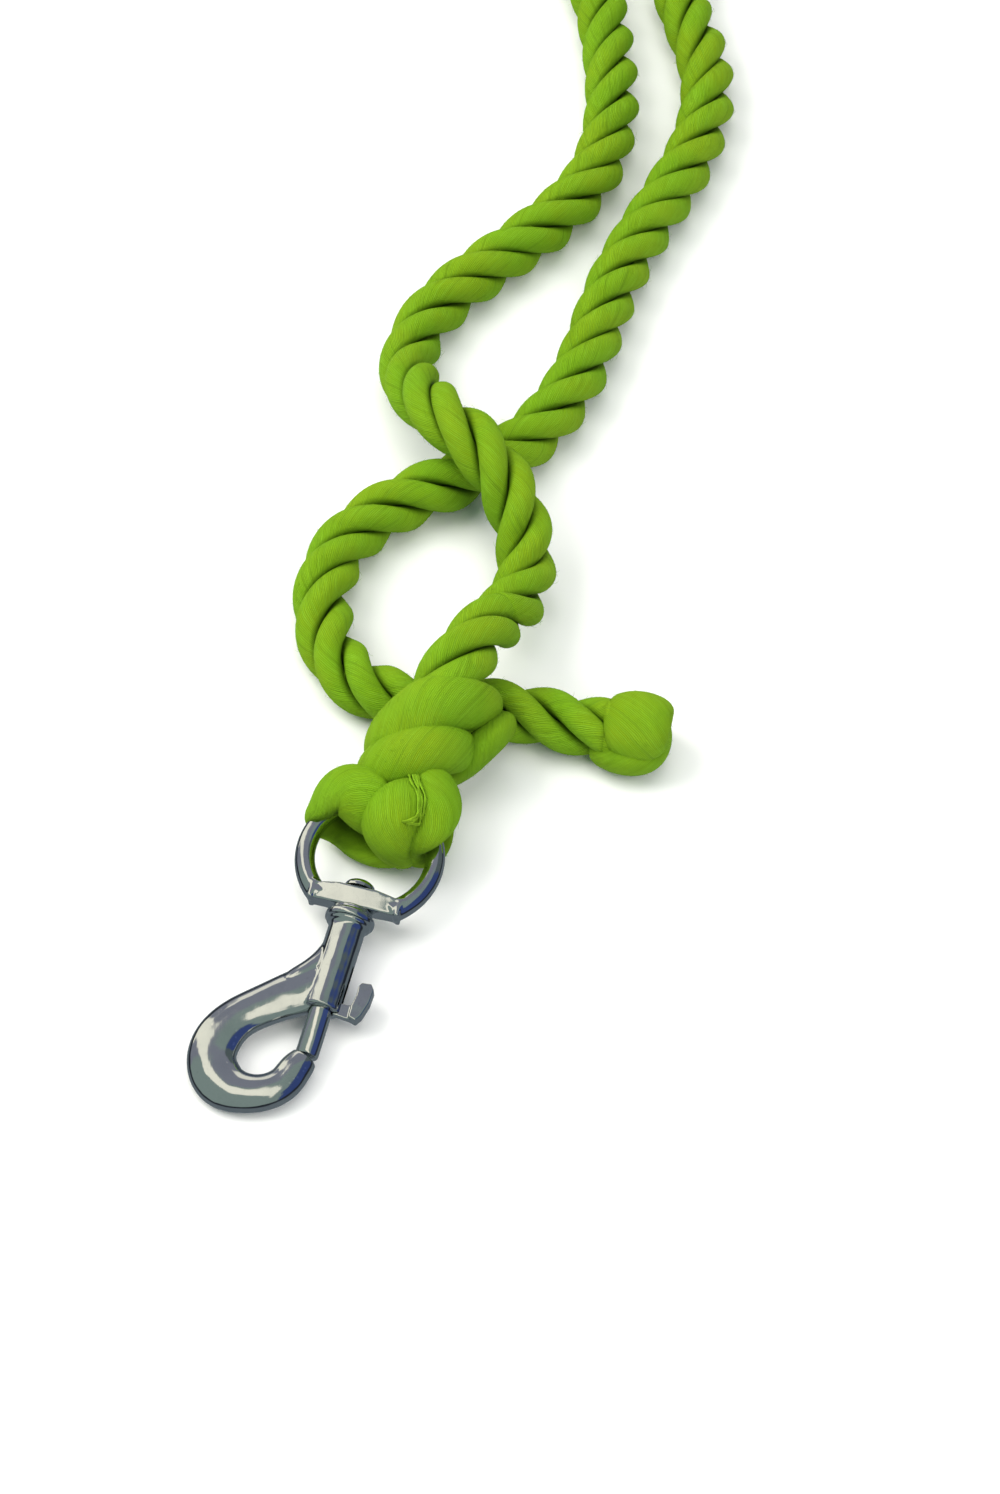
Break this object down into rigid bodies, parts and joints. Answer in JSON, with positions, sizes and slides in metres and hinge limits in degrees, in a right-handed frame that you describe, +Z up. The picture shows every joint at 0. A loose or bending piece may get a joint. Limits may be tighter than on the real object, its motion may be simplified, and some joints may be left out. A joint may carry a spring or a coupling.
{
  "type": "lead rope",
  "caption": "Three-strand cotton lead rope, eye-spliced to a swivel bolt snap with a spring bolt and thumb lever, spare length coiled and tied.",
  "frame": {"origin": "centre of the box of the snap and its splice, on the surface that the lead lies on", "axes": "+Z up; +Y from the snap along the lead, towards the coil; the snap's own axis is turned 15 degrees about Z and dips 5.8 degrees towards its nose"},
  "size_m": [0.2282, 0.7144, 0.043],
  "materials": {
    "cotton_rope": "soft laid cotton, bright lime green, slightly fuzzy",
    "tie_cotton": "natural cotton tape",
    "polished_nickel": "polished nickel plate, slightly dark",
    "spring_steel": "plain spring wire"
  },
  "bodies": {
    "rope": {"rope_snap_half": "cotton_rope", "rope_coil": "cotton_rope", "rope_tail_half": "cotton_rope", "tail_crown": "cotton_rope", "coil_tie": "tie_cotton", "splice_neck": "cotton_rope", "eye_strand_left": "cotton_rope", "eye_strand_middle": "cotton_rope", "eye_strand_right": "cotton_rope"},
    "ring": {"swivel_ring": "polished_nickel"},
    "snap": {"snap_body": "polished_nickel", "swivel_rivet": "polished_nickel", "bolt_spring": "spring_steel"},
    "bolt": {"bolt": "polished_nickel", "thumb_lever": "polished_nickel"}
  },
  "joints": [
    {"name": "ring_swing", "type": "hinge", "parent": "rope", "child": "ring", "pos_m": [0.0078, 0.0178, 0.015], "axis": [0.9659, -0.2588, 0], "range_deg": [-70, 70], "deforming": ["eye_strand_left", "eye_strand_middle", "eye_strand_right"]},
    {"name": "snap_swivel", "type": "hinge", "parent": "ring", "child": "snap", "pos_m": [0.0078, 0.0178, 0.015], "axis": [0.2575, 0.961, 0.1011], "continuous": true},
    {"name": "bolt_slide", "type": "slide", "parent": "snap", "child": "bolt", "axis": [0.2575, 0.961, 0.1011], "range_m": [0, 0.012], "stiffness_N_per_m": 400, "springref_m": -0.008, "deforming": ["bolt_spring"]}
  ]
}
